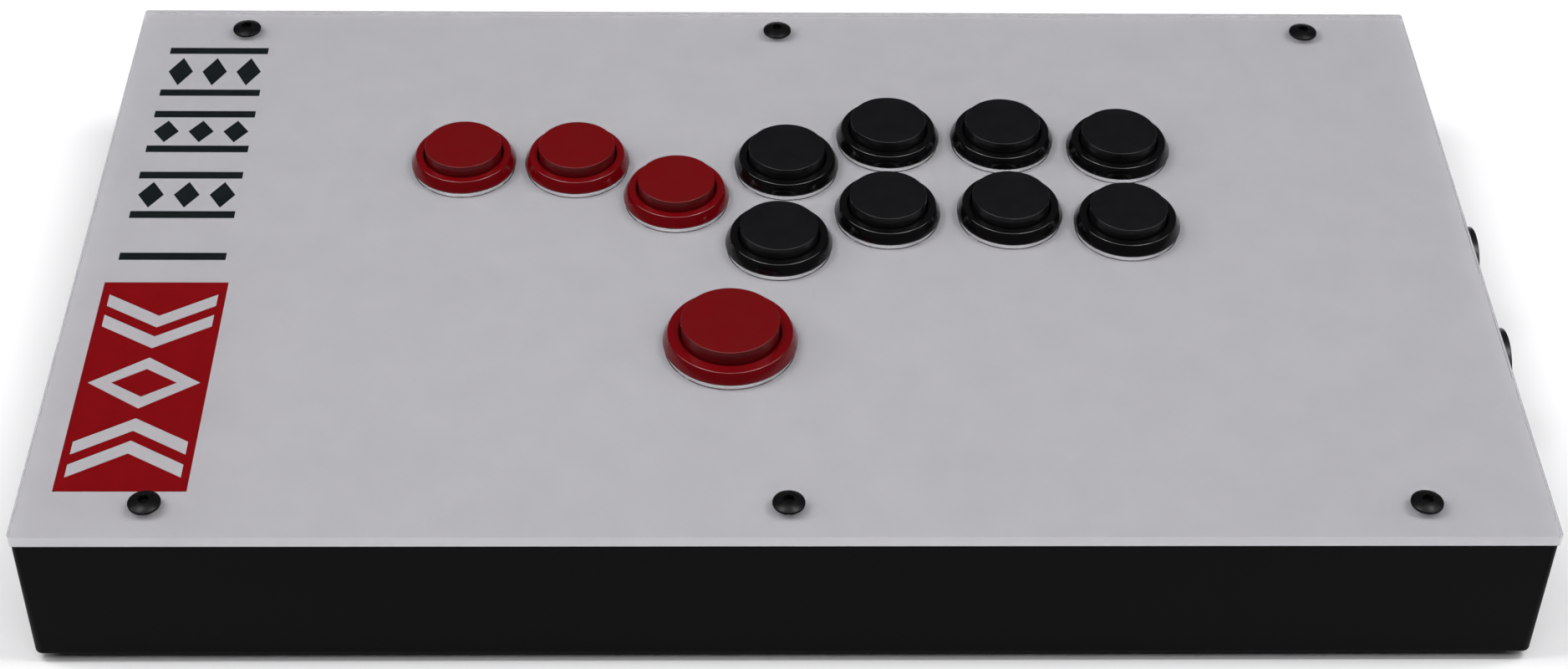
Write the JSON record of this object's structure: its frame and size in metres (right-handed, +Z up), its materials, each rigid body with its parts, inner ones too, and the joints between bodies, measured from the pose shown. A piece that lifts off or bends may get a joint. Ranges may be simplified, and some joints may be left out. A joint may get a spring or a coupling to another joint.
{
  "type": "all-button arcade control panel",
  "caption": "Flat all-button arcade control panel: black tray case, clear screwed cover over printed art, small and large snap-in push buttons on top and on the right wall.",
  "frame": {"origin": "on the table, under the middle of the whole outline with the side buttons; the panel's own middle is 2.8 mm towards -X", "axes": "+X to the player's right, +Y away from the player, +Z up out of the panel"},
  "size_m": [0.3656, 0.21, 0.0492],
  "materials": {
    "case": "fine satin texture, moulded",
    "cover": "clear cast acrylic with polished edges",
    "artwork": "printed sheet with a plain grey ground",
    "plate": "powder coated sheet steel",
    "red_plastic": "glossy moulded",
    "black_plastic": "glossy moulded",
    "screw": "black oxide",
    "foot": "matte",
    "switch": "moulded with steel blades",
    "board": "green solder mask",
    "socket": "plated steel shell"
  },
  "bodies": {
    "case": {"case_tray": "case", "clear_cover": "cover", "artwork_sheet": "artwork", "button_plate": "plate", "cover_screw_front_left": "screw", "cover_screw_front_middle": "screw", "cover_screw_front_right": "screw", "cover_screw_back_left": "screw", "cover_screw_back_middle": "screw", "cover_screw_back_right": "screw", "foot_front_left": "foot", "foot_front_right": "foot", "foot_back_left": "foot", "foot_back_right": "foot", "main_board": "board", "cable_socket": "socket", "board_screw_left": "screw", "board_screw_right": "screw", "left_housing": "red_plastic", "left_switch": "switch", "down_housing": "red_plastic", "down_switch": "switch", "right_housing": "red_plastic", "right_switch": "switch", "up_housing": "red_plastic", "up_switch": "switch", "upper_1_housing": "black_plastic", "upper_1_switch": "switch", "upper_2_housing": "black_plastic", "upper_2_switch": "switch", "upper_3_housing": "black_plastic", "upper_3_switch": "switch", "upper_4_housing": "black_plastic", "upper_4_switch": "switch", "lower_1_housing": "black_plastic", "lower_1_switch": "switch", "lower_2_housing": "black_plastic", "lower_2_switch": "switch", "lower_3_housing": "black_plastic", "lower_3_switch": "switch", "lower_4_housing": "black_plastic", "lower_4_switch": "switch", "side_back_housing": "black_plastic", "side_back_switch": "switch", "side_front_housing": "black_plastic", "side_front_switch": "switch"},
    "left_button": {"left_plunger": "red_plastic"},
    "down_button": {"down_plunger": "red_plastic"},
    "right_button": {"right_plunger": "red_plastic"},
    "up_button": {"up_plunger": "red_plastic"},
    "upper_1_button": {"upper_1_plunger": "black_plastic"},
    "upper_2_button": {"upper_2_plunger": "black_plastic"},
    "upper_3_button": {"upper_3_plunger": "black_plastic"},
    "upper_4_button": {"upper_4_plunger": "black_plastic"},
    "lower_1_button": {"lower_1_plunger": "black_plastic"},
    "lower_2_button": {"lower_2_plunger": "black_plastic"},
    "lower_3_button": {"lower_3_plunger": "black_plastic"},
    "lower_4_button": {"lower_4_plunger": "black_plastic"},
    "side_back_button": {"side_back_plunger": "black_plastic"},
    "side_front_button": {"side_front_plunger": "black_plastic"}
  },
  "joints": [
    {"name": "left_press", "type": "slide", "parent": "case", "child": "left_button", "axis": [0, 0, -1], "range_m": [0, 0.0028], "stiffness_N_per_m": 250, "springref_m": -0.0028},
    {"name": "down_press", "type": "slide", "parent": "case", "child": "down_button", "axis": [0, 0, -1], "range_m": [0, 0.0028], "stiffness_N_per_m": 250, "springref_m": -0.0028},
    {"name": "right_press", "type": "slide", "parent": "case", "child": "right_button", "axis": [0, 0, -1], "range_m": [0, 0.0028], "stiffness_N_per_m": 250, "springref_m": -0.0028},
    {"name": "up_press", "type": "slide", "parent": "case", "child": "up_button", "axis": [0, 0, -1], "range_m": [0, 0.0028], "stiffness_N_per_m": 250, "springref_m": -0.0028},
    {"name": "upper_1_press", "type": "slide", "parent": "case", "child": "upper_1_button", "axis": [0, 0, -1], "range_m": [0, 0.0028], "stiffness_N_per_m": 250, "springref_m": -0.0028},
    {"name": "upper_2_press", "type": "slide", "parent": "case", "child": "upper_2_button", "axis": [0, 0, -1], "range_m": [0, 0.0028], "stiffness_N_per_m": 250, "springref_m": -0.0028},
    {"name": "upper_3_press", "type": "slide", "parent": "case", "child": "upper_3_button", "axis": [0, 0, -1], "range_m": [0, 0.0028], "stiffness_N_per_m": 250, "springref_m": -0.0028},
    {"name": "upper_4_press", "type": "slide", "parent": "case", "child": "upper_4_button", "axis": [0, 0, -1], "range_m": [0, 0.0028], "stiffness_N_per_m": 250, "springref_m": -0.0028},
    {"name": "lower_1_press", "type": "slide", "parent": "case", "child": "lower_1_button", "axis": [0, 0, -1], "range_m": [0, 0.0028], "stiffness_N_per_m": 250, "springref_m": -0.0028},
    {"name": "lower_2_press", "type": "slide", "parent": "case", "child": "lower_2_button", "axis": [0, 0, -1], "range_m": [0, 0.0028], "stiffness_N_per_m": 250, "springref_m": -0.0028},
    {"name": "lower_3_press", "type": "slide", "parent": "case", "child": "lower_3_button", "axis": [0, 0, -1], "range_m": [0, 0.0028], "stiffness_N_per_m": 250, "springref_m": -0.0028},
    {"name": "lower_4_press", "type": "slide", "parent": "case", "child": "lower_4_button", "axis": [0, 0, -1], "range_m": [0, 0.0028], "stiffness_N_per_m": 250, "springref_m": -0.0028},
    {"name": "side_back_press", "type": "slide", "parent": "case", "child": "side_back_button", "axis": [-1, 0, 0], "range_m": [0, 0.0028], "stiffness_N_per_m": 250, "springref_m": -0.0028},
    {"name": "side_front_press", "type": "slide", "parent": "case", "child": "side_front_button", "axis": [-1, 0, 0], "range_m": [0, 0.0028], "stiffness_N_per_m": 250, "springref_m": -0.0028}
  ]
}
